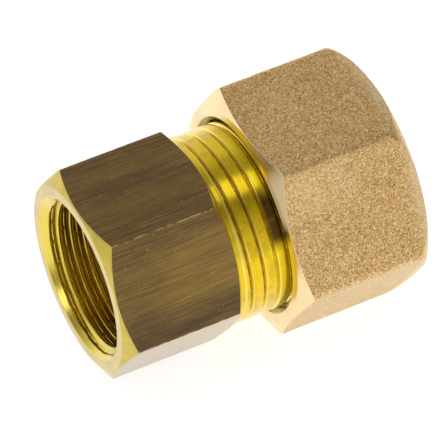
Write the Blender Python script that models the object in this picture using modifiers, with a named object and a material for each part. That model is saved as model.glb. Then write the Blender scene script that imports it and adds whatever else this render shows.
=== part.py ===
"""Straight compression fitting for a 14 mm pipe: hexagonal body with a female pipe thread,
compression ring and union nut.

The fitting lies along +X on a flat of its nut: the female mouth is at -X, the nut at +X.
Each piece is modelled upright, with its own axis on local Z, and is then laid along X.
Positions along the axis are counted from the female mouth. Lengths are in metres.
"""
import math

import bmesh
import bpy
from mathutils import Euler, Matrix, Vector

MM = 0.001

# Driving dimensions
TOTAL_LENGTH = 33.7 * MM
BODY_FLATS = 20.0 * MM          # spanner size of the body, drawn hexagon bar
NUT_FLATS = 23.75 * MM          # 24 mm spanner size, forged within its tolerance
HEX_LENGTH = 13.3 * MM
BODY_TURN = math.radians(1.5)   # the body's hexagon against the nut's, about +X
BODY_LENGTH = 24.8 * MM
NUT_FRONT = 18.65 * MM
TUBE_DIAMETER = 14.0 * MM
TUBE_CLEARANCE = 0.05 * MM      # on the radius
THROUGH_RADIUS = 6.0 * MM
TURN_STEPS = 48                 # facets of a turned surface or of one thread turn

# Outer thread of the body, M20 x 1.5, and the same thread inside the nut
OUTER_PITCH = 1.5 * MM
OUTER_CREST_RADIUS = 9.92 * MM
OUTER_DEPTH = 0.36 * MM
OUTER_CREST_FLAT = 1.04 * MM
OUTER_PHASE = 0.66 * MM         # position of the crest at angle 0, within one pitch
NUT_THREAD_GAP = 0.15 * MM      # radial room between the nut's thread and the body's
NECK_RADIUS = 9.80 * MM
NECK_END = 13.8 * MM            # from here the thread's groove gets to its full depth
NECK_TAPER = 0.5 * MM
SHANK_END_CHAMFER = 0.8 * MM

# Female pipe thread of the body, G 3/8, 19 turns to the inch
PIPE_PITCH = 25.4 * MM / 19
PIPE_ROOT_RADIUS = 8.35 * MM
PIPE_DEPTH = 0.65 * MM
PIPE_CREST_FLAT = 0.30 * MM
PIPE_PHASE = 0.78 * MM          # position of the thread's root at angle 0
PIPE_THREAD_END = 11.4 * MM
PIPE_RELIEF_RADIUS = 8.5 * MM
PIPE_RELIEF_START = 11.0 * MM
PIPE_FLOOR = 12.5 * MM
MOUTH_RADIUS = 8.70 * MM

# Chamfers of the body's hexagon
BODY_FACE_RADIUS = 9.8 * MM
BODY_CHAMFER_ANGLE = math.radians(30)

# Pipe socket of the body
SOCKET_STOP = 16.8 * MM
CONE_MOUTH_RADIUS = 8.0 * MM
CONE_ANGLE = math.radians(12)

# Nut
NUT_FACE_RADIUS = 11.63 * MM
NUT_CHAMFER_ANGLE = math.radians(24)
NUT_MOUTH_RADIUS = 10.59 * MM
NUT_REAR_ROUND = 3.0 * MM
NUT_EDGE_ROUND = 0.45 * MM
REAR_ARC_STEPS = 6
NUT_RELIEF_RADIUS = 10.3 * MM
NUT_RELIEF_START = 27.2 * MM
NUT_THREAD_END = 27.7 * MM
NUT_SHOULDER = 29.65 * MM
NUT_CONE_RADIUS = 8.6 * MM
NUT_HOLE_RADIUS = 7.15 * MM
NUT_HOLE_CHAMFER = 0.4 * MM

# Compression ring
RING_FRONT = 24.4 * MM
RING_LENGTH = 6.0 * MM
RING_NOSE_WALL = 0.4 * MM
RING_RADIUS = 8.25 * MM
RING_REAR_CHAMFER = 0.7 * MM
RING_NOSE_LENGTH = 0.25 * MM

TUBE_BORE_RADIUS = TUBE_DIAMETER / 2 + TUBE_CLEARANCE
FLANK_ANGLE = math.radians(30)
SHARP_ANGLE = math.radians(28)
HALF_STEP = math.pi / TURN_STEPS
MERGE_DISTANCE = 1e-6
OVERRUN = 2.0 * MM              # how far a cutter runs past what it cuts
SEAM = 0.1 * MM                 # how far one shape of a thread runs past the next


def clear_scene():
    for obj in list(bpy.data.objects):
        bpy.data.objects.remove(obj, do_unlink=True)


def make_collection(name):
    collection = bpy.data.collections.new(name)
    bpy.context.scene.collection.children.link(collection)
    return collection


def make_material(name, color, roughness):
    material = bpy.data.materials.new(name)
    material.use_nodes = True
    shader = material.node_tree.nodes["Principled BSDF"]
    shader.inputs["Base Color"].default_value = (*color, 1.0)
    shader.inputs["Roughness"].default_value = roughness
    shader.inputs["Metallic"].default_value = 1.0
    return material


def add_object(name, mesh, collection):
    obj = bpy.data.objects.new(name, mesh)
    collection.objects.link(obj)
    if collection == CUTTERS:
        obj.hide_render = True
        obj.display_type = "WIRE"
    return obj


def turned(name, outline, collection, closed=False, start=0.0):
    """Solid of revolution about local Z. The outline's (radius, position) points run from
    the nut's end to the mouth's end on the outer side. The first facet begins at the start angle."""
    mesh = bpy.data.meshes.new(name)
    points = [(radius * math.cos(start), radius * math.sin(start), position)
              for radius, position in outline]
    edges = [(i, i + 1) for i in range(len(points) - 1)]
    if closed:
        edges.append((len(points) - 1, 0))
    mesh.from_pydata(points, edges, [])
    obj = add_object(name, mesh, collection)
    screw = obj.modifiers.new("turn", "SCREW")
    screw.axis = "Z"
    screw.steps = TURN_STEPS
    screw.render_steps = TURN_STEPS
    screw.use_merge_vertices = True
    screw.merge_threshold = MERGE_DISTANCE
    return obj


def hexagon_bar(name, flats, start, end, turn, edge_round, collection):
    """Hexagonal prism. Without a turn, two flats face +Z and -Z once the piece is laid along X."""
    mesh = bpy.data.meshes.new(name)
    bm = bmesh.new()
    bmesh.ops.create_cone(
        bm, cap_ends=True, segments=6, depth=end - start,
        radius1=flats / math.sqrt(3), radius2=flats / math.sqrt(3))
    bmesh.ops.translate(bm, verts=bm.verts, vec=(0, 0, (start + end) / 2))
    bmesh.ops.rotate(bm, verts=bm.verts, matrix=Matrix.Rotation(turn, 3, "Z"))
    if edge_round:
        edges = [e for e in bm.edges if abs(e.verts[0].co.z - e.verts[1].co.z) > (end - start) / 2]
        bmesh.ops.bevel(bm, geom=edges, offset=edge_round, segments=2, profile=0.5, affect="EDGES")
    bm.to_mesh(mesh)
    bm.free()
    return add_object(name, mesh, collection)


def threaded_rod(name, pitch, crest_radius, depth, crest_flat, phase, start, end):
    """Right-hand threaded rod. Each turn has four rows of points, which follow the helix:
    the two edges of the crest and the two edges of the root."""
    flank = depth * math.tan(FLANK_ANGLE)
    rows = [
        (crest_radius, -crest_flat / 2),
        (crest_radius, crest_flat / 2),
        (crest_radius - depth, crest_flat / 2 + flank),
        (crest_radius - depth, pitch - crest_flat / 2 - flank),
    ]
    first_turn = math.floor((start - phase) / pitch) - 2
    turns = math.ceil((end - start) / pitch) + 4
    steps = turns * TURN_STEPS
    bm = bmesh.new()
    grid = []
    for step in range(steps + 1):
        angle = 2 * math.pi * (step % TURN_STEPS) / TURN_STEPS
        lift = phase + pitch * (first_turn + step / TURN_STEPS)
        grid.append([
            bm.verts.new((radius * math.cos(angle), radius * math.sin(angle), lift + offset))
            for radius, offset in rows])
    for step in range(steps):
        here, after = grid[step], grid[step + 1]
        for row in range(3):
            bm.faces.new((here[row], after[row], after[row + 1], here[row + 1]))
        if step + TURN_STEPS + 1 <= steps:
            above, above_after = grid[step + TURN_STEPS], grid[step + TURN_STEPS + 1]
            bm.faces.new((here[3], after[3], above_after[0], above[0]))
    low_loop = [grid[step][0] for step in range(TURN_STEPS + 1)] + [grid[0][3], grid[0][2], grid[0][1]]
    last = steps - TURN_STEPS
    high_loop = [grid[step][3] for step in range(last, steps + 1)]
    high_loop += [grid[steps][2], grid[steps][1], grid[steps][0]]
    low_tip = bm.verts.new((0, 0, grid[0][0].co.z))
    high_tip = bm.verts.new((0, 0, grid[steps][3].co.z))
    for loop, tip, upward in ((low_loop, low_tip, False), (high_loop, high_tip, True)):
        for i, corner in enumerate(loop):
            following = loop[(i + 1) % len(loop)]
            if upward:
                bm.faces.new((corner, following, tip))
            else:
                bm.faces.new((following, corner, tip))
    bmesh.ops.triangulate(bm, faces=bm.faces)
    mesh = bpy.data.meshes.new(name)
    bm.to_mesh(mesh)
    bm.free()
    return add_object(name, mesh, CUTTERS)


def combine(target, cutter, operation):
    boolean = target.modifiers.new(operation.lower(), "BOOLEAN")
    boolean.operation = operation
    boolean.solver = "EXACT"
    boolean.object = cutter


def finish_piece(obj, material):
    """Apply the modifiers, shade the round surfaces smooth and lay the piece along X."""
    bpy.context.view_layer.update()
    evaluated = obj.evaluated_get(bpy.context.evaluated_depsgraph_get())
    mesh = bpy.data.meshes.new_from_object(evaluated)
    obj.modifiers.clear()
    obj.data = mesh
    mesh.name = obj.name
    mesh.materials.clear()
    mesh.materials.append(material)
    mesh.shade_smooth()
    mesh.set_sharp_from_angle(angle=SHARP_ANGLE)


def lay_along_x(objects):
    for obj in objects:
        obj.rotation_euler = Euler((0, math.pi / 2, 0))
        obj.location = Vector((-TOTAL_LENGTH / 2, 0, NUT_FLATS / 2))


def arc_points(center, radius, start_angle, end_angle, steps):
    """Points of an arc in the (radius, position) plane."""
    points = []
    for step in range(steps + 1):
        angle = start_angle + (end_angle - start_angle) * step / steps
        points.append((center[0] + radius * math.cos(angle), center[1] + radius * math.sin(angle)))
    return points


def build_body():
    corner = BODY_FLATS / math.sqrt(3) + SEAM
    chamfer = (corner - BODY_FACE_RADIUS) * math.tan(BODY_CHAMFER_ANGLE)
    taper_end = NECK_END + NECK_TAPER
    taper_radius = OUTER_CREST_RADIUS - OUTER_DEPTH - SEAM
    body = hexagon_bar("fitting_body", BODY_FLATS, -OVERRUN, taper_end + OVERRUN, BODY_TURN, 0, PARTS)
    blank = turned("body_blank", [
        (0, taper_end),
        (taper_radius, taper_end),
        (NECK_RADIUS, NECK_END),
        (NECK_RADIUS, HEX_LENGTH),
        (BODY_FACE_RADIUS, HEX_LENGTH),
        (corner, HEX_LENGTH - chamfer),
        (corner, chamfer),
        (BODY_FACE_RADIUS, 0),
        (0, 0)], CUTTERS, start=HALF_STEP)
    combine(body, blank, "INTERSECT")
    combine(body, build_shank(), "UNION")
    combine(body, build_body_bore(), "DIFFERENCE")
    combine(body, build_pipe_thread(), "DIFFERENCE")
    return body


def build_shank():
    start = NECK_END - NECK_TAPER / 2
    shank = threaded_rod(
        "shank_thread", OUTER_PITCH, OUTER_CREST_RADIUS, OUTER_DEPTH, OUTER_CREST_FLAT,
        OUTER_PHASE, start, BODY_LENGTH)
    clear_radius = OUTER_CREST_RADIUS + 2 * SEAM
    envelope = turned("shank_envelope", [
        (0, BODY_LENGTH),
        (clear_radius - SHANK_END_CHAMFER, BODY_LENGTH),
        (clear_radius, BODY_LENGTH - SHANK_END_CHAMFER),
        (clear_radius, NECK_END + NECK_TAPER),
        (NECK_RADIUS - SEAM, start),
        (0, start)], CUTTERS, start=HALF_STEP)
    combine(shank, envelope, "INTERSECT")
    return shank


def build_body_bore():
    pipe_crest_radius = PIPE_ROOT_RADIUS - PIPE_DEPTH
    cone_length = (CONE_MOUTH_RADIUS - TUBE_BORE_RADIUS) / math.tan(CONE_ANGLE)
    cone_overrun = OVERRUN * math.tan(CONE_ANGLE)
    return turned("body_bore", [
        (0, BODY_LENGTH + OVERRUN),
        (CONE_MOUTH_RADIUS + cone_overrun, BODY_LENGTH + OVERRUN),
        (TUBE_BORE_RADIUS, BODY_LENGTH - cone_length),
        (TUBE_BORE_RADIUS, SOCKET_STOP),
        (THROUGH_RADIUS, SOCKET_STOP),
        (THROUGH_RADIUS, PIPE_FLOOR),
        (PIPE_RELIEF_RADIUS, PIPE_FLOOR),
        (PIPE_RELIEF_RADIUS, PIPE_RELIEF_START),
        (pipe_crest_radius, PIPE_RELIEF_START - (PIPE_RELIEF_RADIUS - pipe_crest_radius)),
        (pipe_crest_radius, MOUTH_RADIUS - pipe_crest_radius),
        (MOUTH_RADIUS + OVERRUN, -OVERRUN),
        (0, -OVERRUN)], CUTTERS)


def build_pipe_thread():
    """The rod that cuts the female thread. It stops inside the relief groove."""
    rod = threaded_rod(
        "pipe_thread", PIPE_PITCH, PIPE_ROOT_RADIUS, PIPE_DEPTH, PIPE_CREST_FLAT,
        PIPE_PHASE, -OVERRUN, PIPE_THREAD_END)
    envelope = turned("pipe_thread_envelope", [
        (0, PIPE_THREAD_END),
        (PIPE_ROOT_RADIUS + SEAM, PIPE_THREAD_END),
        (PIPE_ROOT_RADIUS + SEAM, -OVERRUN),
        (0, -OVERRUN)], CUTTERS)
    combine(rod, envelope, "INTERSECT")
    return rod


def build_nut():
    corner = NUT_FLATS / math.sqrt(3)
    chamfer = (corner - NUT_FACE_RADIUS) * math.tan(NUT_CHAMFER_ANGLE)
    nut = hexagon_bar(
        "union_nut", NUT_FLATS, NUT_FRONT - OVERRUN, TOTAL_LENGTH + OVERRUN, 0, NUT_EDGE_ROUND, PARTS)
    rear_arc = arc_points(
        (corner - NUT_REAR_ROUND, TOTAL_LENGTH - NUT_REAR_ROUND), NUT_REAR_ROUND,
        math.pi / 2, 0, REAR_ARC_STEPS)
    blank = turned("nut_blank", [
        (0, TOTAL_LENGTH),
        *rear_arc,
        (corner, NUT_FRONT + chamfer),
        (NUT_FACE_RADIUS, NUT_FRONT),
        (0, NUT_FRONT)], CUTTERS)
    combine(nut, blank, "INTERSECT")
    combine(nut, build_nut_bore(), "DIFFERENCE")
    combine(nut, build_nut_thread(), "DIFFERENCE")
    return nut


def build_nut_bore():
    crest_radius = OUTER_CREST_RADIUS - OUTER_DEPTH + NUT_THREAD_GAP
    hole_end = NUT_SHOULDER + NUT_CONE_RADIUS - NUT_HOLE_RADIUS
    mouth_depth = NUT_MOUTH_RADIUS - crest_radius
    return turned("nut_bore", [
        (0, TOTAL_LENGTH + OVERRUN),
        (NUT_HOLE_RADIUS + NUT_HOLE_CHAMFER + OVERRUN, TOTAL_LENGTH + OVERRUN),
        (NUT_HOLE_RADIUS, TOTAL_LENGTH - NUT_HOLE_CHAMFER),
        (NUT_HOLE_RADIUS, hole_end),
        (NUT_CONE_RADIUS, NUT_SHOULDER),
        (NUT_RELIEF_RADIUS, NUT_SHOULDER),
        (NUT_RELIEF_RADIUS, NUT_RELIEF_START),
        (crest_radius, NUT_RELIEF_START - (NUT_RELIEF_RADIUS - crest_radius)),
        (crest_radius, NUT_FRONT + mouth_depth),
        (NUT_MOUTH_RADIUS + OVERRUN, NUT_FRONT - OVERRUN),
        (0, NUT_FRONT - OVERRUN)], CUTTERS)


def build_nut_thread():
    """The rod that cuts the nut's thread: the body's thread, grown by the running gap. It stops
    inside the relief groove."""
    crest_radius = OUTER_CREST_RADIUS + NUT_THREAD_GAP
    rod = threaded_rod(
        "nut_thread", OUTER_PITCH, crest_radius, OUTER_DEPTH, OUTER_CREST_FLAT,
        OUTER_PHASE, NUT_FRONT - OVERRUN, NUT_THREAD_END)
    envelope = turned("nut_thread_envelope", [
        (0, NUT_THREAD_END),
        (crest_radius + SEAM, NUT_THREAD_END),
        (crest_radius + SEAM, NUT_FRONT - OVERRUN),
        (0, NUT_FRONT - OVERRUN)], CUTTERS)
    combine(rod, envelope, "INTERSECT")
    return rod


def build_ring():
    nose_radius = TUBE_BORE_RADIUS + RING_NOSE_WALL
    taper_start = RING_FRONT + RING_NOSE_LENGTH
    taper_end = taper_start + (RING_RADIUS - nose_radius) / math.tan(CONE_ANGLE)
    rear = RING_FRONT + RING_LENGTH
    return turned("compression_ring", [
        (TUBE_BORE_RADIUS, rear),
        (RING_RADIUS - RING_REAR_CHAMFER, rear),
        (RING_RADIUS, rear - RING_REAR_CHAMFER),
        (RING_RADIUS, taper_end),
        (nose_radius, taper_start),
        (nose_radius, RING_FRONT),
        (TUBE_BORE_RADIUS, RING_FRONT)], PARTS, closed=True)


clear_scene()
PARTS = make_collection("compression_fitting")
CUTTERS = make_collection("cutters")
BODY_BRASS = make_material("body_brass", (0.30, 0.22, 0.08), 0.35)
NUT_BRASS = make_material("nut_brass", (0.60, 0.40, 0.16), 0.45)
RING_BRASS = make_material("ring_brass", (0.80, 0.62, 0.18), 0.20)

BODY = build_body()
NUT = build_nut()
RING = build_ring()
finish_piece(BODY, BODY_BRASS)
finish_piece(NUT, NUT_BRASS)
finish_piece(RING, RING_BRASS)
lay_along_x(list(PARTS.objects) + list(CUTTERS.objects))
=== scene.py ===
import math

import bpy
import numpy as np
from mathutils import Matrix, Vector, noise


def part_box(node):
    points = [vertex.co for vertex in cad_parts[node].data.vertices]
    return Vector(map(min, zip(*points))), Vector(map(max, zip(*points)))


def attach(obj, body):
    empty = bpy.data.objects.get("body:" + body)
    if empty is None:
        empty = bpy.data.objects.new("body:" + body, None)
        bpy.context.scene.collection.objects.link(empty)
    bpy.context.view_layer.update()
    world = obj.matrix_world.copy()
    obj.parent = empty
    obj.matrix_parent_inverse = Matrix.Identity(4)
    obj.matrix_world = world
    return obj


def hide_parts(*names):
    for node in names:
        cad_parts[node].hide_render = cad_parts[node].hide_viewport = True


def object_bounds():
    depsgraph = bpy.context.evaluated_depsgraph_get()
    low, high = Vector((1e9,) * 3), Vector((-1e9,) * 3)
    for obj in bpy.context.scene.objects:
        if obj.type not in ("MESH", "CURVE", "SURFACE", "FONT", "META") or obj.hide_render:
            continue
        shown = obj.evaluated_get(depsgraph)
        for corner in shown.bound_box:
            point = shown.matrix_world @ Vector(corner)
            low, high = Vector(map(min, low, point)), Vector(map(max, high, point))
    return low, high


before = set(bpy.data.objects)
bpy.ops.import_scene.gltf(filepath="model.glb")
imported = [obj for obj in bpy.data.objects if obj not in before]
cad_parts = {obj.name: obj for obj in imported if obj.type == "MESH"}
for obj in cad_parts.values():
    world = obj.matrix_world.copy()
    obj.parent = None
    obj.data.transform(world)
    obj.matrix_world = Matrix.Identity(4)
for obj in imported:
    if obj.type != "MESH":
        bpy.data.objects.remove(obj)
CAD_LOW, CAD_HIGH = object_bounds()

# The looks of a brass compression fitting. Each of its three pieces is one closed mesh of quads:
# a profile in the plane of the axis, worked out for every angle round the axis, and swept.
# Positions along the axis are counted from the female mouth. Lengths are in metres.
MM = 0.001
AXIS_HEIGHT = (CAD_LOW.z + CAD_HIGH.z) / 2
MOUTH_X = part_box("fitting_body")[0].x
BODY_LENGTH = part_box("fitting_body")[1].x - MOUTH_X
NUT_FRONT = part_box("union_nut")[0].x - MOUTH_X
TOTAL_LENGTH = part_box("union_nut")[1].x - MOUTH_X
RING_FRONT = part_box("compression_ring")[0].x - MOUTH_X
RING_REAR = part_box("compression_ring")[1].x - MOUTH_X
NUT_FLATS = CAD_HIGH.z - CAD_LOW.z

# Camera
VIEW_AZIMUTH = math.radians(-27.46)
VIEW_ELEVATION = math.radians(46.73)
VIEW_ROLL = math.radians(-0.3)
VIEW_DISTANCE = 0.504
VIEW_AIM = (16.38 * MM, 0.40 * MM, 0.33 * MM)   # along the axis, across it and above it
VIEW_LENS = 407.2
SENSOR_WIDTH = 36.0

# Body
BODY_FLATS = 20.0 * MM
BODY_TURN = math.radians(1.5)
HEX_LENGTH = 13.3 * MM
BODY_FACE_RADIUS = 9.8 * MM
BODY_CHAMFER = math.tan(math.radians(30))
BODY_EDGE_ROUND = 0.12 * MM
MOUTH_RADIUS = 8.70 * MM
NECK_RADIUS = 9.80 * MM
NECK_END = 13.8 * MM
NECK_TAPER = 0.5 * MM
NECK_RING_PITCH = 0.16 * MM     # tool rings on the neck, next to the hexagon
NECK_RING_DEPTH = 0.02 * MM
SHANK_END_CHAMFER = 0.8 * MM
FLANK_SLOPE = math.tan(math.radians(30))        # of every thread
OUTER_PITCH = 1.5 * MM
OUTER_CREST_RADIUS = 9.92 * MM
OUTER_DEPTH = 0.36 * MM
OUTER_CREST_FLAT = 1.04 * MM
OUTER_PHASE = 0.66 * MM
OUTER_ROUNDING = (0.10 * MM, 0.03 * MM)         # of the crests' corners and of the roots'
OUTER_RUN_IN_SLOPE = 0.5
PIPE_PITCH = 25.4 * MM / 19
PIPE_ROOT_RADIUS = 8.35 * MM
PIPE_DEPTH = 0.65 * MM
PIPE_CREST_FLAT = 0.30 * MM
PIPE_PHASE = 0.78 * MM
PIPE_ROUNDING = (0.03 * MM, 0.05 * MM)
PIPE_RELIEF_RADIUS = 8.5 * MM
PIPE_RELIEF_START = 11.2 * MM
PIPE_FLOOR = 12.5 * MM
THROUGH_RADIUS = 6.0 * MM
SOCKET_STOP = 16.8 * MM
TUBE_BORE_RADIUS = 7.05 * MM
CONE_MOUTH_RADIUS = 8.0 * MM
CONE_SLOPE = math.tan(math.radians(12))

# Nut
NUT_FACE_RADIUS = 11.63 * MM
NUT_CHAMFER = math.tan(math.radians(24))
NUT_EDGE_ROUND = 0.86 * MM
NUT_REAR_ROUND = 3.0 * MM
NUT_MOUTH_RADIUS = 10.59 * MM
NUT_THREAD_GAP = 0.15 * MM
NUT_RELIEF_RADIUS = 10.3 * MM
NUT_RELIEF_START = 27.2 * MM
NUT_SHOULDER = 29.65 * MM
NUT_CONE_RADIUS = 8.6 * MM
NUT_HOLE_RADIUS = 7.15 * MM
NUT_HOLE_CHAMFER = 0.4 * MM
DENT_HEIGHT = 0.022 * MM
DENT_SCALE = 1500
WAVE_HEIGHT = 0.030 * MM
WAVE_SCALE = 420
FORGING_SETBACK = 0.030 * MM    # keeps dents and waves inside the nut's nominal surface

# Ring
RING_NOSE_WALL = 0.4 * MM
RING_RADIUS = 8.25 * MM
RING_REAR_CHAMFER = 0.7 * MM
RING_NOSE_LENGTH = 0.25 * MM

# Roundings of edges, and of the corners where one turned surface runs into another
EDGE_ROUND = 0.05 * MM
FACE_EDGE_ROUND = 0.06 * MM
NECK_ROUND = 0.03 * MM
NUT_FACE_ROUND = 0.12 * MM
NUT_REAR_BLEND = 0.35 * MM
RING_SHOULDER_ROUND = 0.2 * MM
RING_REAR_ROUND = 0.12 * MM
WALL_BLEND = 0.05 * MM

# Zones of the meshes, numbered by the places of their materials in the piece's list
TURNED = 0
TARNISHED = 1
FACED = 2
SHANK = 3
PIPE_THREAD = 4
MACHINED = 0
FORGED = 1
NUT_THREAD = 2

# Rows and columns of the meshes, closer together where they are seen
SHARP_ANGLE = math.radians(50)
FILLET_STEPS = 3
FILLET_LIMIT = 0.45             # share of the way to the next corner that a rounding may take
REAR_ARC_STEPS = 10
BODY_COLUMNS = 40               # in a sixth of a turn
BODY_CROWDING = 0.35
NUT_COLUMNS = 66
NUT_CROWDING = 0.45
RING_COLUMNS = 32
SHANK_MARGIN = 0.15 * MM        # from the hexagon's rear face to the shank's first row
END_MARGIN = 0.1 * MM           # from a thread's last row to its end
PIPE_FLOOR_MARGIN = 0.05 * MM
PIPE_MOUTH_MARGIN = 0.08 * MM
NECK_SPACING = 0.03 * MM
SHANK_SPACING = 0.045 * MM
SHANK_HIDDEN_SPACING = 0.15 * MM
SHANK_SEEN_IN_NUT = 1.0 * MM
PIPE_SPACING = 0.065 * MM
PIPE_DEEP_SPACING = 0.16 * MM
PIPE_SEEN_LENGTH = 6.0 * MM
NUT_THREAD_SPACING = 0.06 * MM
NUT_THREAD_DEEP_SPACING = 0.14 * MM
NUT_THREAD_SEEN_LENGTH = 2.5 * MM

# Where a colour sets in and where it is full: places along the axis, and distances from it
# Painted shade in the outer thread's grooves: the radii where it sets in and is full, and where it
# begins along the axis
GROOVE_RADII = (9.78 * MM, 9.60 * MM)
GROOVES_BEGIN = (13.9 * MM, 14.1 * MM)
# Painted highlight on the crest corners that face the female mouth: the radii where it sets in and
# is full
FLANK_HIGHLIGHT_RADII = (9.565 * MM, 9.62 * MM)
YELLOWER_CRESTS = (16.9 * MM, 17.5 * MM)
# Painted dark reflection on the last crest in front of the nut: where it begins, and where it
# thins
DARK_REFLECTION_BEGINS = (17.2 * MM, 17.7 * MM)
DARK_REFLECTION_THINS = (18.58 * MM, 18.72 * MM)      # from full to half
PALE_PIPE_MOUTH = (0.9 * MM, 0.4 * MM)
# Painted shade further into the female thread
PIPE_THREAD_SHADE = (1.2 * MM, 3.0 * MM)
CHAMFER_RADII = (9.75 * MM, 9.90 * MM)
# Painted light on the body's upper front flat
LIT_FLAT_LENGTH = (3.0 * MM, 8.0 * MM)
WORN_EDGE_RADII = (11.46 * MM, 11.52 * MM)
# Painted highlights on the nut's facets: where along the axis they set in and are full
PAINTED_GLINTS_LENGTH = (28.5 * MM, 25.0 * MM)
PALE_REAR = (31.6 * MM, 33.5 * MM)

# Sides of the fitting that differ: the angle round the axis from straight down towards the back,
# and the cosines of the angle from there at which the difference sets in and is full
# Side of the painted dark reflection on the last crest
DARK_REFLECTION_SIDE = (228, 0.935, 0.985)
# Side of the painted light on the body's upper front flat
LIT_FLAT_SIDE = (240, 0.90, 0.99)
DIRTY_SIDE = (270, 0.945, 0.998)
# Side of the painted highlights on the nut's facets
PAINTED_GLINTS_SIDE = (222, 0.970, 0.998)
# Side of the painted highlight on the nut's machined front
HIGHLIGHT_PATCH_SIDE = (221, 0.955, 0.995)
BODY_LOWER_FLAT = 301.5
NUT_LOWER_FLAT = 300
FLAT_HALF_ANGLE = 30
FLAT_EDGE_BLEND = 0.4

# Studio: the floor, and the light from around as (degrees about the axis from the back over the
# top, brightness)
FLOOR_SIZE = 6.0
FLOOR_GAP = 0.02 * MM
SKY = ((0, 0.82), (30, 0.80), (42, 0.72), (58, 0.50), (70, 0.34), (84, 0.36), (104, 0.30),
       (116, 0.22), (128, 0.38), (142, 0.56), (160, 0.76), (180, 0.85))


# ---------------------------------------------------------------- shapes

def smooth_min(a, b, width):
    """The lower of a and b, with the corner between them rounded over that width."""
    h = np.maximum(width - np.abs(a - b), 0) / width
    return np.minimum(a, b) - h * h * width / 4


def smooth_max(a, b, width):
    """The higher of a and b, rounded likewise."""
    return -smooth_min(-a, -b, width)


def sweep_angles(per_sector, turn, crowding):
    """Angles round the axis, closer together near the hexagon's six edges."""
    t = np.linspace(-1, 1, per_sector, endpoint=False)
    bent = (1 - crowding) * t + crowding * np.sin(t * math.pi / 2)
    sector = np.radians(30 * bent)
    return np.concatenate([turn + sector + math.radians(60 * k) for k in range(6)])


def hexagon_radius(angles, flats, turn, edge_round):
    """Distance from the axis to a hexagon with rounded edges, at each angle."""
    apothem = flats / 2
    from_flat = np.abs((angles - turn + math.pi / 6) % (math.pi / 3) - math.pi / 6)
    from_edge = math.pi / 6 - from_flat
    centre = (apothem - edge_round) / math.cos(math.pi / 6)
    tangent = math.atan2(centre * math.sin(math.pi / 6), apothem)
    flat = apothem / np.cos(from_flat)
    inside = np.maximum(edge_round ** 2 - (centre * np.sin(from_edge)) ** 2, 0)
    rounded = centre * np.cos(from_edge) + np.sqrt(inside)
    return np.where(from_flat > tangent, rounded, flat)


def thread_depth(position, angles, pitch, phase, crest_flat, depth, rounding):
    """How far a right-hand thread's surface lies below its crest. rounding is that of the
    crest's and the root's corners."""
    lead = phase + pitch * angles / (2 * math.pi)
    across = np.abs((position - lead + pitch / 2) % pitch - pitch / 2)
    cut = (across - crest_flat / 2) / FLANK_SLOPE
    return smooth_min(smooth_max(cut, 0, rounding[0]), depth, rounding[1])


def corner(radius, position, fillet=0.0, rows=1, zone=TURNED, shape=None):
    """One corner of a profile. rows is the number of quads to the next corner, or the list of
    shares of the way at which rows lie. zone is the material of that stretch, and shape a
    function that gives its radius."""
    return {"radius": radius, "position": position, "fillet": fillet, "rows": rows,
            "zone": zone, "shape": shape}


def profile_rows(corners, angles):
    """Rows of (radius, position) for every angle, and the zone of the strip after each row."""
    count = len(angles)
    points = []
    for c in corners:
        radius = np.broadcast_to(c["radius"], count)
        position = np.broadcast_to(c["position"], count)
        points.append(np.stack([radius, position], 1))
    starts, ends = [], []
    for i, c in enumerate(corners):
        back = points[i - 1] - points[i]
        ahead = points[(i + 1) % len(points)] - points[i]
        back_length = np.linalg.norm(back, axis=1, keepdims=True)
        ahead_length = np.linalg.norm(ahead, axis=1, keepdims=True)
        back_fillet = np.minimum(c["fillet"], FILLET_LIMIT * back_length)
        ahead_fillet = np.minimum(c["fillet"], FILLET_LIMIT * ahead_length)
        starts.append(points[i] + back / back_length * back_fillet)
        ends.append(points[i] + ahead / ahead_length * ahead_fillet)
    rows, zones = [], []
    for i, c in enumerate(corners):
        if c["fillet"]:
            for step in range(FILLET_STEPS):
                t = step / FILLET_STEPS
                arc = (1 - t) ** 2 * starts[i] + 2 * t * (1 - t) * points[i] + t * t * ends[i]
                rows.append(arc)
                zones.append(c["zone"] if step * 2 >= FILLET_STEPS else corners[i - 1]["zone"])
        goal = starts[(i + 1) % len(points)]
        shares = c["rows"] if not isinstance(c["rows"], int) else np.arange(c["rows"]) / c["rows"]
        for share in shares:
            row = ends[i] + (goal - ends[i]) * share
            if c["shape"]:
                row[:, 0] = c["shape"](row[:, 1], angles)
            rows.append(row)
            zones.append(c["zone"])
    return np.array(rows), zones


def spaced(length, stretches):
    """Shares of the way at which rows lie. stretches is a list of (end position, spacing)."""
    shares, position = [], 0.0
    for end, spacing in stretches:
        count = max(1, round((end - position) / spacing))
        shares += [(position + (end - position) * k / count) / length for k in range(count)]
        position = end
    return shares


def sweep(name, corners, angles, materials, relief=None):
    """Closed mesh from a profile that may change with the angle. The profile runs along the
    outer side towards +X, and back along the inner side."""
    rows, zones = profile_rows(corners, angles)
    row_count, count = rows.shape[:2]
    radius, position = rows[..., 0], rows[..., 1]
    co = np.stack([position, radius * np.sin(angles), -radius * np.cos(angles)], -1)
    index = np.arange(row_count * count).reshape(row_count, count)
    below = np.roll(index, -1, 0)
    quads = np.stack([index, np.roll(index, -1, 1), np.roll(below, -1, 1), below], -1)
    mesh = bpy.data.meshes.new(name)
    mesh.from_pydata(co.reshape(-1, 3).tolist(), [], quads.reshape(-1, 4).tolist())
    for material in materials:
        mesh.materials.append(material)
    mesh.polygons.foreach_set("material_index", np.repeat(zones, count).astype(np.int32))
    mesh.update()
    if relief:
        relief(mesh, np.repeat(zones, count))
    mesh.shade_smooth()
    mesh.set_sharp_from_angle(angle=SHARP_ANGLE)
    obj = bpy.data.objects.new(name, mesh)
    bpy.context.scene.collection.objects.link(obj)
    obj.location = (MOUTH_X, 0, AXIS_HEIGHT)
    return obj


# ---------------------------------------------------------------- materials

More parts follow.
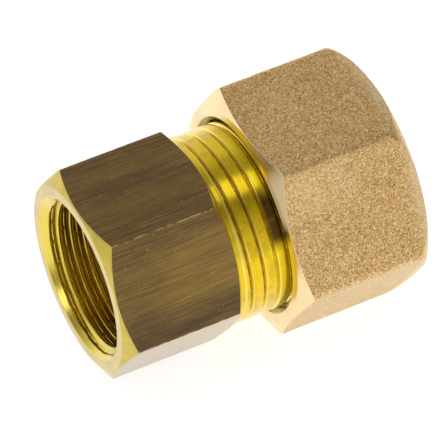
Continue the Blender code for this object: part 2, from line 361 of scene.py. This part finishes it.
def fill_ramp(node, stops):
    """Give a colour ramp its stops, each a place and a colour."""
    elements = node.color_ramp.elements
    while len(elements) < len(stops):
        elements.new(0.5)
    for element, (place, color) in zip(elements, stops):
        element.position = place
        element.color = (*color, 1)


class Nodes:
    """A few short calls that build a material's node tree."""

    def __init__(self, name):
        self.material = bpy.data.materials.new(name)
        self.material.use_nodes = True
        self.tree = self.material.node_tree
        self.shader = self.tree.nodes["Principled BSDF"]
        self.coordinates = self.add("ShaderNodeTexCoord").outputs["Object"]

    def add(self, kind, **settings):
        node = self.tree.nodes.new(kind)
        for key, value in settings.items():
            setattr(node, key, value)
        return node

    def link(self, source, socket):
        """A number is set on the socket itself, and an output is linked to it."""
        if isinstance(source, (int, float)):
            socket.default_value = source
        else:
            self.tree.links.new(source, socket)

    def math(self, operation, a, b=0.0):
        node = self.add("ShaderNodeMath", operation=operation)
        self.link(a, node.inputs[0])
        self.link(b, node.inputs[1])
        return node.outputs[0]

    def stretched(self, scale):
        """Object coordinates with a scale for each axis."""
        node = self.add("ShaderNodeMapping")
        node.inputs["Scale"].default_value = scale
        self.tree.links.new(self.coordinates, node.inputs["Vector"])
        return node.outputs[0]

    def noise(self, scale, detail=2.0, roughness=0.5, vector=None):
        node = self.add("ShaderNodeTexNoise")
        node.inputs["Scale"].default_value = scale
        node.inputs["Detail"].default_value = detail
        node.inputs["Roughness"].default_value = roughness
        self.tree.links.new(vector or self.coordinates, node.inputs["Vector"])
        return node.outputs["Fac"]

    def clouds(self, scale):
        """Soft clouds, from 0 to 1."""
        return self.level(self.noise(scale, 2.0), 0.35, 0.7)

    def cells(self, scale, output="Distance"):
        """Distance from the middle of an uneven cell, or each cell's own random colour."""
        node = self.add("ShaderNodeTexVoronoi")
        node.inputs["Scale"].default_value = scale
        self.tree.links.new(self.coordinates, node.inputs["Vector"])
        return node.outputs[output]

    def ramp(self, factor, stops):
        node = self.add("ShaderNodeValToRGB")
        fill_ramp(node, stops)
        self.link(factor, node.inputs[0])
        return node.outputs["Color"]

    def level(self, factor, low, high, low_value=0.0, high_value=1.0):
        """Runs softly from low_value, where the factor is low, to high_value, where it is high."""
        node = self.add("ShaderNodeMapRange", interpolation_type="SMOOTHSTEP")
        node.inputs["From Min"].default_value = low
        node.inputs["From Max"].default_value = high
        node.inputs["To Min"].default_value = low_value
        node.inputs["To Max"].default_value = high_value
        self.link(factor, node.inputs["Value"])
        return node.outputs["Result"]

    def mix(self, factor, a, b):
        """Colour a where the factor is 0, and b where it is 1."""
        node = self.add("ShaderNodeMix", data_type="RGBA")
        self.link(factor, node.inputs["Factor"])
        for value, socket in ((a, node.inputs[6]), (b, node.inputs[7])):
            if isinstance(value, tuple):
                socket.default_value = (*value, 1)
            else:
                self.tree.links.new(value, socket)
        return node.outputs[2]

    def bump(self, height, distance, normal=None):
        """Fine relief of that height, on top of the relief in normal."""
        node = self.add("ShaderNodeBump")
        node.inputs["Distance"].default_value = distance
        node.inputs["Strength"].default_value = 1.0
        self.link(height, node.inputs["Height"])
        if normal:
            self.tree.links.new(normal, node.inputs["Normal"])
        return node.outputs["Normal"]

    def from_axis(self):
        """Distance from the fitting's axis, and position along it."""
        split = self.add("ShaderNodeSeparateXYZ")
        self.tree.links.new(self.coordinates, split.inputs[0])
        y2 = self.math("MULTIPLY", split.outputs["Y"], split.outputs["Y"])
        z2 = self.math("MULTIPLY", split.outputs["Z"], split.outputs["Z"])
        return self.math("SQRT", self.math("ADD", y2, z2)), split.outputs["X"]

    def facing_mouth(self, low, high):
        """1 where the surface faces the female mouth, 0 where it faces away."""
        split = self.add("ShaderNodeSeparateXYZ")
        normal = self.add("ShaderNodeTexCoord").outputs["Normal"]
        self.tree.links.new(normal, split.inputs[0])
        return self.level(split.outputs["X"], -low, -high)

    def toward(self, degrees, low, high):
        """1 on the side of the axis that lies at this angle, and 0 elsewhere. low and high are
        cosines of the angle from there."""
        split = self.add("ShaderNodeSeparateXYZ")
        self.tree.links.new(self.coordinates, split.inputs[0])
        across = self.math("MULTIPLY", split.outputs["Y"], math.sin(math.radians(degrees)))
        upward = self.math("MULTIPLY", split.outputs["Z"], -math.cos(math.radians(degrees)))
        radius, _ = self.from_axis()
        cosine = self.math("DIVIDE", self.math("ADD", across, upward), radius)
        return self.level(cosine, low, high)

    def on_flat(self, degrees):
        """1 on the hexagon's flat that faces this angle."""
        outside = math.cos(math.radians(FLAT_HALF_ANGLE + FLAT_EDGE_BLEND))
        inside = math.cos(math.radians(FLAT_HALF_ANGLE - FLAT_EDGE_BLEND))
        return self.toward(degrees, outside, inside)

    def turning(self, scale):
        """Noise that runs in rings round the axis, as a lathe tool leaves it."""
        radius, along = self.from_axis()
        join = self.add("ShaderNodeCombineXYZ")
        self.tree.links.new(radius, join.inputs["X"])
        self.tree.links.new(along, join.inputs["Y"])
        return self.noise(scale, 3.0, 0.6, join.outputs[0])

    def metal(self, color, roughness, normal, metallic=1.0):
        """The finished material. Each value may change over the surface."""
        self.link(color, self.shader.inputs["Base Color"])
        self.link(roughness, self.shader.inputs["Roughness"])
        self.link(normal, self.shader.inputs["Normal"])
        self.link(metallic, self.shader.inputs["Metallic"])
        return self.material

    def film(self, weight, ior, roughness):
        """A thin clear layer over the metal."""
        self.shader.inputs["Coat Weight"].default_value = weight
        self.shader.inputs["Coat IOR"].default_value = ior
        self.shader.inputs["Coat Roughness"].default_value = roughness


def polish(n, color, rings, low, high):
    """Finish of a bright turned surface: tool rings under a thin clear film. low and high are
    the roughness in the rings' valleys and on their tops."""
    n.film(0.7, 1.3, 0.2)
    return n.metal(color, n.level(rings, 0.3, 0.75, low, high), n.bump(rings, 0.006 * MM))


def bright_brass():
    """Turned yellow brass with fine tool rings."""
    n = Nodes("bright_turned_brass")
    color = n.mix(n.clouds(350), (0.80, 0.54, 0.020), (0.86, 0.60, 0.035))
    return polish(n, color, n.turning(9000), 0.16, 0.30)


def shank_brass():
    """Neck and outer thread: bright crests, grooves darkened with painted shade, painted
    highlights on the corners on the side of the female mouth, and a painted dark reflection on the
    last crest in front of the nut."""
    n = Nodes("bright_threaded_brass")
    radius, along = n.from_axis()
    color = n.mix(n.clouds(350), (0.80, 0.53, 0.004), (0.86, 0.585, 0.010))
    blotches = n.level(n.noise(620, 3.0, 0.6), 0.48, 0.62, 0.0, 0.42)
    color = n.mix(blotches, color, (0.46, 0.33, 0.012))
    # Painted shade: the grooves between the crests are darkened
    grooves = n.math("MULTIPLY", n.level(radius, *GROOVE_RADII), n.level(along, *GROOVES_BEGIN))
    color = n.mix(grooves, color, (0.36, 0.28, 0.026))
    color = n.mix(n.level(along, *YELLOWER_CRESTS, 0.0, 0.8), color, (0.76, 0.60, 0.006))
    # Painted highlight: the crest corners that face the female mouth are painted pale
    corners = n.math("MULTIPLY", n.facing_mouth(0.2, 0.5), n.level(radius, *FLANK_HIGHLIGHT_RADII))
    color = n.mix(corners, color, (0.92, 0.73, 0.15))
    # Painted reflection: a dark patch on the last crest in front of the nut stands in for the
    # nut's reflection
    painted_dark_reflection = n.math("MULTIPLY", n.level(along, *DARK_REFLECTION_BEGINS), n.toward(*DARK_REFLECTION_SIDE))
    painted_dark_reflection = n.math("MULTIPLY", painted_dark_reflection, n.level(along, *DARK_REFLECTION_THINS, 1.0, 0.5))
    painted_dark_reflection = n.math("MULTIPLY", painted_dark_reflection, n.level(n.noise(500, 2.0), 0.2, 0.45, 0.6, 1.0))
    color = n.mix(painted_dark_reflection, color, (0.095, 0.044, 0.002))
    return polish(n, color, n.turning(9000), 0.15, 0.28)


def pipe_thread_brass():
    """Countersink and female thread: pale at the mouth, with painted shade that darkens it further
    in.
    """
    n = Nodes("bright_inner_brass")
    _, along = n.from_axis()
    color = n.mix(n.clouds(420), (0.74, 0.56, 0.055), (0.82, 0.64, 0.10))
    color = n.mix(n.level(along, *PALE_PIPE_MOUTH, 0.0, 0.7), color, (0.80, 0.62, 0.11))
    # Painted shade: the female thread is darkened further in, where little light reaches
    color = n.mix(n.level(along, *PIPE_THREAD_SHADE, 0.0, 0.55), color, (0.48, 0.35, 0.030))
    return polish(n, color, n.turning(7000), 0.18, 0.32)


def faced_brass():
    """The body's mouth ring and chamfers: cut with a coarser tool than the threads, and duller."""
    n = Nodes("dull_faced_brass")
    rings = n.turning(5200)
    clouds = n.level(n.noise(420, 3.0, 0.6), 0.3, 0.7)
    radius, _ = n.from_axis()
    ring = n.mix(clouds, (0.60, 0.455, 0.130), (0.72, 0.565, 0.200))
    chamfer = n.mix(clouds, (0.56, 0.42, 0.050), (0.68, 0.525, 0.100))
    color = n.mix(n.level(radius, *CHAMFER_RADII), ring, chamfer)
    color = n.mix(n.level(rings, 0.5, 0.3, 0.0, 0.45), color, (0.36, 0.25, 0.040))
    n.film(0.7, 1.3, 0.3)
    return n.metal(color, n.level(rings, 0.3, 0.7, 0.30, 0.42), n.bump(rings, 0.008 * MM))


def tarnished_brass():
    """Drawn bar, darkened and dull, with drawing lines along it, small bright nicks and worn,
    paler edges. The upper front flat is lightened with painted light, the edge below it is
    dirtier, and the flat below that edge is paler with a painted reflection of the floor."""
    n = Nodes("tarnished_drawn_brass")
    radius, along = n.from_axis()
    fine = n.noise(1.0, 3.0, 0.6, n.stretched((230, 9500, 9500)))
    broad = n.noise(1.0, 2.0, 0.55, n.stretched((70, 1900, 1900)))
    bands = n.noise(1.0, 2.0, 0.5, n.stretched((30, 480, 480)))
    patches = n.noise(260, 3.0, 0.6)
    grain = n.noise(6500, 2.0, 0.6)
    color = n.ramp(fine, [(0.28, (0.070, 0.036, 0.004)), (0.5, (0.175, 0.102, 0.016)),
                          (0.72, (0.36, 0.230, 0.055))])
    color = n.mix(n.level(broad, 0.40, 0.70, 0.0, 0.65), color, (0.095, 0.050, 0.010))
    color = n.mix(n.level(bands, 0.44, 0.64, 0.0, 0.50), color, (0.240, 0.162, 0.024))
    color = n.mix(n.level(patches, 0.48, 0.75, 0.0, 0.55), color, (0.110, 0.062, 0.016))
    color = n.mix(n.level(grain, 0.56, 0.70, 0.0, 0.45), color, (0.34, 0.225, 0.080))
    # Painted light: the upper front flat is painted paler, more so further from the mouth
    painted_flat_light = n.math("MULTIPLY", n.toward(*LIT_FLAT_SIDE), n.level(along, *LIT_FLAT_LENGTH, 0.15, 0.55))
    painted_flat_light = n.math("MULTIPLY", painted_flat_light, n.level(fine, 0.3, 0.6, 0.5, 1.0))
    color = n.mix(painted_flat_light, color, (0.36, 0.235, 0.040))
    dirt = n.math("MULTIPLY", n.toward(*DIRTY_SIDE), n.level(fine, 0.35, 0.60, 0.75, 0.35))
    color = n.mix(dirt, color, (0.075, 0.040, 0.010))
    chips = n.level(n.noise(1.0, 3.0, 0.6, n.stretched((1300, 2500, 2500))), 0.42, 0.60, 0.0, 0.8)
    worn = n.math("MULTIPLY", n.level(radius, *WORN_EDGE_RADII), chips)
    color = n.mix(worn, color, (0.62, 0.47, 0.27))
    # Painted reflection: the lower flat is painted paler, standing in for the pale floor that it
    # reflects
    painted_floor_reflection = n.math("MULTIPLY", n.on_flat(BODY_LOWER_FLAT), 0.5)
    color = n.mix(painted_floor_reflection, color, (0.62, 0.50, 0.22))
    nicked_places = n.level(n.noise(900, 1.0), 0.60, 0.68)
    nicks = n.math("MULTIPLY", n.level(n.cells(2600), 0.16, 0.06), nicked_places)
    color = n.mix(nicks, color, (0.75, 0.60, 0.34))
    n.film(1.0, 1.42, 0.20)
    n.shader.inputs["Coat Tint"].default_value = (1.0, 0.93, 0.80, 1)
    normal = n.bump(broad, 0.02 * MM, n.bump(fine, 0.012 * MM))
    return n.metal(color, n.level(fine, 0.3, 0.7, 0.50, 0.38), normal)


def blasted_brass():
    """Shot-blasted forging: fine dense pits, with facets painted bright as highlights, most of all
    near one edge. The rear is paler, and the lower flat is painted paler as a reflection of the
    floor."""
    n = Nodes("blasted_forged_brass")
    facets = n.add("ShaderNodeSeparateColor")
    n.tree.links.new(n.cells(8200, "Color"), facets.inputs[0])
    pits = n.noise(4600, 3.0, 0.65)
    clouds = n.level(n.noise(140, 3.0, 0.55), 0.3, 0.7)
    color = n.mix(clouds, (0.74, 0.455, 0.168), (0.83, 0.525, 0.208))
    color = n.mix(n.level(facets.outputs[0], 0.40, 0.05, 0.0, 0.75), color, (0.36, 0.20, 0.056))
    # Painted highlights: some facets are painted bright, as glinting light
    color = n.mix(n.level(facets.outputs[0], 0.68, 0.95, 0.0, 0.85), color, (1.0, 0.80, 0.46))
    color = n.mix(n.level(pits, 0.46, 0.32, 0.0, 0.60), color, (0.34, 0.19, 0.060))
    color = n.mix(n.level(pits, 0.57, 0.70, 0.0, 0.60), color, (1.0, 0.78, 0.44))
    _, along = n.from_axis()
    # Painted reflection: the nut's lower flat is painted paler, standing in for the pale floor
    # that it reflects
    painted_floor_reflection = n.math("MULTIPLY", n.on_flat(NUT_LOWER_FLAT), 0.45)
    color = n.mix(painted_floor_reflection, color, (0.68, 0.56, 0.34))
    # Painted highlights: more bright facets near the edge between the top and the upper front flat
    painted_glints = n.math("MULTIPLY", n.toward(*PAINTED_GLINTS_SIDE), n.level(along, *PAINTED_GLINTS_LENGTH))
    painted_glints = n.math("MULTIPLY", painted_glints, n.level(facets.outputs[0], 0.35, 0.85, 0.2, 0.8))
    color = n.mix(painted_glints, color, (1.0, 0.74, 0.38))
    color = n.mix(n.level(along, *PALE_REAR, 0.0, 0.6), color, (1.0, 0.80, 0.50))
    normal = n.bump(facets.outputs[1], 0.02 * MM, n.bump(pits, 0.07 * MM))
    return n.metal(color, n.level(pits, 0.3, 0.7, 0.54, 0.38), normal)


def machined_pale_brass():
    """The nut's machined front: satin and pale, with a painted highlight beside one edge of the
    hexagon, where a paler patch is also less metallic and rougher.
    """
    n = Nodes("satin_machined_brass")
    rings = n.turning(7000)
    color = n.mix(n.clouds(300), (0.88, 0.675, 0.36), (0.95, 0.745, 0.41))
    # Painted highlight: a pale patch beside the edge between the top and the upper front flat
    dull = n.toward(*HIGHLIGHT_PATCH_SIDE)
    color = n.mix(dull, color, (1.0, 0.80, 0.46))
    metallic = n.math("SUBTRACT", 1.0, n.math("MULTIPLY", dull, 0.85))
    roughness = n.level(rings, 0.3, 0.7, 0.18, 0.28)
    roughness = n.math("ADD", roughness, n.math("MULTIPLY", dull, 0.25))
    return n.metal(color, roughness, n.bump(rings, 0.006 * MM), metallic)


def nut_thread_brass():
    """The nut's countersunk mouth and thread: cut bright, but dull with oil."""
    n = Nodes("oiled_nut_thread_brass")
    color = n.mix(n.clouds(420), (0.38, 0.33, 0.045), (0.47, 0.40, 0.070))
    return polish(n, color, n.turning(7000), 0.22, 0.36)


def floor_material():
    """Pale floor that gives off light itself, so that it comes out white."""
    n = Nodes("pale_floor")
    n.shader.inputs["Base Color"].default_value = (0.60, 0.60, 0.60, 1)
    n.shader.inputs["Roughness"].default_value = 0.8
    n.shader.inputs["Specular IOR Level"].default_value = 0.2
    n.shader.inputs["Emission Color"].default_value = (1, 1, 1, 1)
    n.shader.inputs["Emission Strength"].default_value = 0.82
    return n.material


# ---------------------------------------------------------------- pieces

def outer_thread_radius(position, angles):
    """The body's shank: neck with tool rings, thread and end chamfer."""
    depth = thread_depth(
        position, angles, OUTER_PITCH, OUTER_PHASE, OUTER_CREST_FLAT, OUTER_DEPTH, OUTER_ROUNDING)
    run_in = NECK_RADIUS + (position - NECK_END) * OUTER_RUN_IN_SLOPE
    run_out = OUTER_CREST_RADIUS - SHANK_END_CHAMFER + (BODY_LENGTH - position)
    thread = smooth_min(OUTER_CREST_RADIUS - depth, np.minimum(run_in, run_out), WALL_BLEND)
    past_neck = np.maximum(position - NECK_END, 0)
    rings = 0.5 + 0.5 * np.cos(2 * math.pi * position / NECK_RING_PITCH)
    neck = NECK_RADIUS - past_neck * OUTER_DEPTH / NECK_TAPER - NECK_RING_DEPTH * rings
    return smooth_max(thread, neck, NECK_ROUND)


def pipe_thread_radius(position, angles):
    """The female thread, with the countersunk mouth and the relief groove at its end."""
    depth = thread_depth(
        position, angles, PIPE_PITCH, PIPE_PHASE, PIPE_CREST_FLAT, PIPE_DEPTH, PIPE_ROUNDING)
    countersink = MOUTH_RADIUS - position
    relief = PIPE_RELIEF_RADIUS + (position - PIPE_RELIEF_START)
    wall = smooth_max(PIPE_ROOT_RADIUS - depth, countersink, WALL_BLEND)
    return smooth_max(wall, np.minimum(relief, PIPE_RELIEF_RADIUS), WALL_BLEND)


def make_body(materials):
    """The body. materials are for TURNED, TARNISHED, FACED, SHANK and PIPE_THREAD."""
    angles = sweep_angles(BODY_COLUMNS, BODY_TURN, BODY_CROWDING)
    hexagon = hexagon_radius(angles, BODY_FLATS, BODY_TURN, BODY_EDGE_ROUND)
    inset = (hexagon - BODY_FACE_RADIUS) * BODY_CHAMFER
    cone_end = BODY_LENGTH - (CONE_MOUTH_RADIUS - TUBE_BORE_RADIUS) / CONE_SLOPE
    shank_start = HEX_LENGTH + SHANK_MARGIN
    shank_end = BODY_LENGTH - END_MARGIN
    shank_end_radius = OUTER_CREST_RADIUS - SHANK_END_CHAMFER
    shank_length = shank_end - shank_start
    shank_rows = spaced(shank_length, [
        (NECK_END - shank_start, NECK_SPACING),
        (NUT_FRONT + SHANK_SEEN_IN_NUT - shank_start, SHANK_SPACING),
        (shank_length, SHANK_HIDDEN_SPACING)])
    pipe_start = PIPE_FLOOR - PIPE_FLOOR_MARGIN
    pipe_length = pipe_start - PIPE_MOUTH_MARGIN
    pipe_rows = spaced(pipe_length, [
        (pipe_start - PIPE_SEEN_LENGTH, PIPE_DEEP_SPACING),
        (pipe_length, PIPE_SPACING)])
    corners = [
        corner(MOUTH_RADIUS, 0.0, FACE_EDGE_ROUND, 2, zone=FACED),
        corner(BODY_FACE_RADIUS, 0.0, EDGE_ROUND, 3, zone=FACED),
        corner(hexagon, inset, EDGE_ROUND, 24, zone=TARNISHED),
        corner(hexagon, HEX_LENGTH - inset, EDGE_ROUND, 3, zone=FACED),
        corner(NECK_RADIUS, HEX_LENGTH, NECK_ROUND, 2, zone=SHANK),
        corner(NECK_RADIUS, shank_start, 0, shank_rows, zone=SHANK, shape=outer_thread_radius),
        corner(shank_end_radius + END_MARGIN, shank_end, 0, 1),
        corner(shank_end_radius, BODY_LENGTH, EDGE_ROUND, 2),
        corner(CONE_MOUTH_RADIUS, BODY_LENGTH, EDGE_ROUND, 4),
        corner(TUBE_BORE_RADIUS, cone_end, 0, 3),
        corner(TUBE_BORE_RADIUS, SOCKET_STOP, 0, 1),
        corner(THROUGH_RADIUS, SOCKET_STOP, EDGE_ROUND, 3),
        corner(THROUGH_RADIUS, PIPE_FLOOR, EDGE_ROUND, 2),
        corner(PIPE_RELIEF_RADIUS, PIPE_FLOOR, 0, 1),
        corner(PIPE_RELIEF_RADIUS, pipe_start, 0, pipe_rows, zone=PIPE_THREAD,
               shape=pipe_thread_radius),
        corner(MOUTH_RADIUS - PIPE_MOUTH_MARGIN, PIPE_MOUTH_MARGIN, 0, 1, zone=PIPE_THREAD),
    ]
    return sweep("fitting_body_detailed", corners, angles, materials)


def forged_relief(mesh, zones):
    """Small dents and waves of a forging, on the stretches that aren't machined."""
    co = np.zeros(len(mesh.vertices) * 3)
    mesh.vertices.foreach_get("co", co)
    co = co.reshape(-1, 3)
    normals = np.zeros(len(mesh.vertices) * 3)
    mesh.vertices.foreach_get("normal", normals)
    normals = normals.reshape(-1, 3)
    forged = np.zeros(len(co), bool)
    corners = np.zeros(len(mesh.loops), np.int32)
    mesh.loops.foreach_get("vertex_index", corners)
    forged[corners.reshape(-1, 4)[zones == FORGED].ravel()] = True
    machined = np.zeros(len(co), bool)
    machined[corners.reshape(-1, 4)[zones != FORGED].ravel()] = True
    for i in np.nonzero(forged & ~machined)[0]:
        p = Vector(co[i])
        dents = DENT_HEIGHT * noise.noise(p * DENT_SCALE)
        waves = WAVE_HEIGHT * noise.noise(p * WAVE_SCALE)
        co[i] += normals[i] * min(dents + waves - FORGING_SETBACK, 0)
    mesh.vertices.foreach_set("co", co.ravel())
    mesh.update()


def nut_thread_radius(position, angles):
    """The nut's thread: the body's thread with the running gap, and the countersunk mouth."""
    crest = OUTER_CREST_RADIUS + NUT_THREAD_GAP
    depth = thread_depth(
        position, angles, OUTER_PITCH, OUTER_PHASE, OUTER_CREST_FLAT, OUTER_DEPTH, OUTER_ROUNDING)
    countersink = NUT_MOUTH_RADIUS - (position - NUT_FRONT)
    relief = NUT_RELIEF_RADIUS + (position - NUT_RELIEF_START)
    wall = smooth_max(crest - depth, countersink, WALL_BLEND)
    return smooth_max(wall, np.minimum(relief, NUT_RELIEF_RADIUS), WALL_BLEND)


def make_nut(materials):
    """The nut. materials are for MACHINED, FORGED and NUT_THREAD."""
    angles = sweep_angles(NUT_COLUMNS, 0.0, NUT_CROWDING)
    hexagon = hexagon_radius(angles, NUT_FLATS, 0.0, NUT_EDGE_ROUND)
    inset = (hexagon - NUT_FACE_RADIUS) * NUT_CHAMFER
    widest = NUT_FLATS / math.sqrt(3)
    arc_radius = widest - NUT_REAR_ROUND
    arc_position = TOTAL_LENGTH - NUT_REAR_ROUND
    arc_start = np.arccos(np.clip((hexagon - arc_radius) / NUT_REAR_ROUND, -1, 1))
    rear = []
    for step in range(REAR_ARC_STEPS + 1):
        angle = arc_start + (math.pi / 2 - arc_start) * step / REAR_ARC_STEPS
        radius = arc_radius + NUT_REAR_ROUND * np.cos(angle)
        position = arc_position + NUT_REAR_ROUND * np.sin(angle)
        blend = NUT_REAR_BLEND if step == 0 else 0.0
        row_count = 2 if step < REAR_ARC_STEPS else 8
        rear.append(corner(radius, position, blend, row_count, zone=FORGED))
    hole_end = NUT_SHOULDER + NUT_CONE_RADIUS - NUT_HOLE_RADIUS
    thread_start = NUT_SHOULDER - END_MARGIN
    thread_length = thread_start - NUT_FRONT - END_MARGIN
    thread_rows = spaced(thread_length, [
        (thread_start - NUT_FRONT - NUT_THREAD_SEEN_LENGTH, NUT_THREAD_DEEP_SPACING),
        (thread_length, NUT_THREAD_SPACING)])
    corners = [
        corner(NUT_MOUTH_RADIUS, NUT_FRONT, FACE_EDGE_ROUND, 3),
        corner(NUT_FACE_RADIUS, NUT_FRONT, NUT_FACE_ROUND, 6),
        corner(hexagon, NUT_FRONT + inset, EDGE_ROUND, 62, zone=FORGED),
        *rear,
        corner(NUT_HOLE_RADIUS + NUT_HOLE_CHAMFER, TOTAL_LENGTH, EDGE_ROUND, 1),
        corner(NUT_HOLE_RADIUS, TOTAL_LENGTH - NUT_HOLE_CHAMFER, EDGE_ROUND, 3),
        corner(NUT_HOLE_RADIUS, hole_end, EDGE_ROUND, 3),
        corner(NUT_CONE_RADIUS, NUT_SHOULDER, EDGE_ROUND, 2),
        corner(NUT_RELIEF_RADIUS, NUT_SHOULDER, 0, 1),
        corner(NUT_RELIEF_RADIUS, thread_start, 0, thread_rows, zone=NUT_THREAD,
               shape=nut_thread_radius),
        corner(NUT_MOUTH_RADIUS - END_MARGIN, NUT_FRONT + END_MARGIN, 0, 1, zone=NUT_THREAD),
    ]
    return sweep("union_nut_detailed", corners, angles, materials, forged_relief)


def make_ring(bright):
    """The ring, with its taper on the side of the body's cone."""
    angles = sweep_angles(RING_COLUMNS, 0.0, 0.0)
    nose = TUBE_BORE_RADIUS + RING_NOSE_WALL
    taper_start = RING_FRONT + RING_NOSE_LENGTH
    taper_end = taper_start + (RING_RADIUS - nose) / CONE_SLOPE
    corners = [
        corner(TUBE_BORE_RADIUS, RING_FRONT, EDGE_ROUND, 1),
        corner(nose, RING_FRONT, EDGE_ROUND, 1),
        corner(nose, taper_start, EDGE_ROUND, 12),
        corner(RING_RADIUS, taper_end, RING_SHOULDER_ROUND, 4),
        corner(RING_RADIUS, RING_REAR - RING_REAR_CHAMFER, RING_REAR_ROUND, 4),
        corner(RING_RADIUS - RING_REAR_CHAMFER, RING_REAR, FACE_EDGE_ROUND, 2),
        corner(TUBE_BORE_RADIUS, RING_REAR, FACE_EDGE_ROUND, 12),
    ]
    return sweep("compression_ring_detailed", corners, angles, [bright])


# ---------------------------------------------------------------- studio

def make_camera():
    data = bpy.data.cameras.new("camera")
    data.lens = VIEW_LENS
    data.sensor_width = SENSOR_WIDTH
    data.clip_start = 0.01
    data.clip_end = 20.0
    camera = bpy.data.objects.new("camera", data)
    bpy.context.scene.collection.objects.link(camera)
    across = math.cos(VIEW_ELEVATION)
    back = Vector((math.sin(VIEW_AZIMUTH) * across, -math.cos(VIEW_AZIMUTH) * across,
                   math.sin(VIEW_ELEVATION)))
    aim = Vector((MOUTH_X + VIEW_AIM[0], VIEW_AIM[1], AXIS_HEIGHT + VIEW_AIM[2]))
    turn = (-back).to_track_quat("-Z", "Y").to_matrix() @ Matrix.Rotation(VIEW_ROLL, 3, "Z")
    camera.matrix_world = Matrix.Translation(aim + back * VIEW_DISTANCE) @ turn.to_4x4()
    bpy.context.scene.camera = camera


def add_light(name, location, size, power):
    """Rectangular light that faces the fitting."""
    data = bpy.data.lights.new(name, "AREA")
    data.shape = "RECTANGLE"
    data.size, data.size_y = size
    data.energy = power
    light = bpy.data.objects.new(name, data)
    bpy.context.scene.collection.objects.link(light)
    light.location = location
    toward_fitting = Vector((0, 0, AXIS_HEIGHT)) - Vector(location)
    light.rotation_euler = toward_fitting.to_track_quat("-Z", "Y").to_euler()


def make_world():
    """Soft light that changes with the angle about the fitting's axis: paler low down at the
    back and at the front, darker on both sides of the overhead light and out to the ends."""
    world = bpy.data.worlds.new("studio")
    bpy.context.scene.world = world
    world.use_nodes = True
    tree = world.node_tree
    direction = tree.nodes.new("ShaderNodeTexCoord").outputs["Generated"]
    split = tree.nodes.new("ShaderNodeSeparateXYZ")
    tree.links.new(direction, split.inputs[0])
    angle = tree.nodes.new("ShaderNodeMath")
    angle.operation = "ARCTAN2"
    tree.links.new(split.outputs["Z"], angle.inputs[0])
    tree.links.new(split.outputs["Y"], angle.inputs[1])
    share = tree.nodes.new("ShaderNodeMath")
    share.operation = "DIVIDE"
    share.inputs[1].default_value = math.pi
    tree.links.new(angle.outputs[0], share.inputs[0])
    ramp = tree.nodes.new("ShaderNodeValToRGB")
    fill_ramp(ramp, [(degrees / 180, (level, level, level)) for degrees, level in SKY])
    tree.links.new(share.outputs[0], ramp.inputs[0])
    sideways = tree.nodes.new("ShaderNodeMath")
    sideways.operation = "ABSOLUTE"
    tree.links.new(split.outputs["X"], sideways.inputs[0])
    fade = tree.nodes.new("ShaderNodeMapRange")
    fade.interpolation_type = "SMOOTHSTEP"
    fade.inputs["From Min"].default_value = 0.5
    fade.inputs["From Max"].default_value = 0.88
    fade.inputs["To Min"].default_value = 1.0
    fade.inputs["To Max"].default_value = 0.42
    tree.links.new(sideways.outputs[0], fade.inputs["Value"])
    background = tree.nodes["Background"]
    tree.links.new(ramp.outputs["Color"], background.inputs["Color"])
    tree.links.new(fade.outputs["Result"], background.inputs["Strength"])


def make_studio():
    bpy.ops.mesh.primitive_plane_add(size=FLOOR_SIZE, location=(0, 0, CAD_LOW.z - FLOOR_GAP))
    floor = bpy.context.object
    floor.name = "floor"
    floor.data.materials.append(floor_material())
    add_light("overhead", location=(0.0, -0.05, 0.6), size=(0.5, 0.22), power=0.36)
    add_light("left", location=(-0.56, -0.01, 0.225), size=(0.19, 0.19), power=0.24)
    bpy.context.scene.view_settings.view_transform = "Standard"
    make_world()


make_camera()
make_studio()
BRIGHT = bright_brass()
body = make_body([BRIGHT, tarnished_brass(), faced_brass(), shank_brass(), pipe_thread_brass()])
nut = make_nut([machined_pale_brass(), blasted_brass(), nut_thread_brass()])
ring = make_ring(BRIGHT)
for piece, body_name, node, slot in (
        (body, "fitting", "fitting_body", "body_brass"),
        (nut, "nut", "union_nut", "nut_brass"),
        (ring, "ring", "compression_ring", "ring_brass")):
    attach(piece, body_name)
    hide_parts(node)
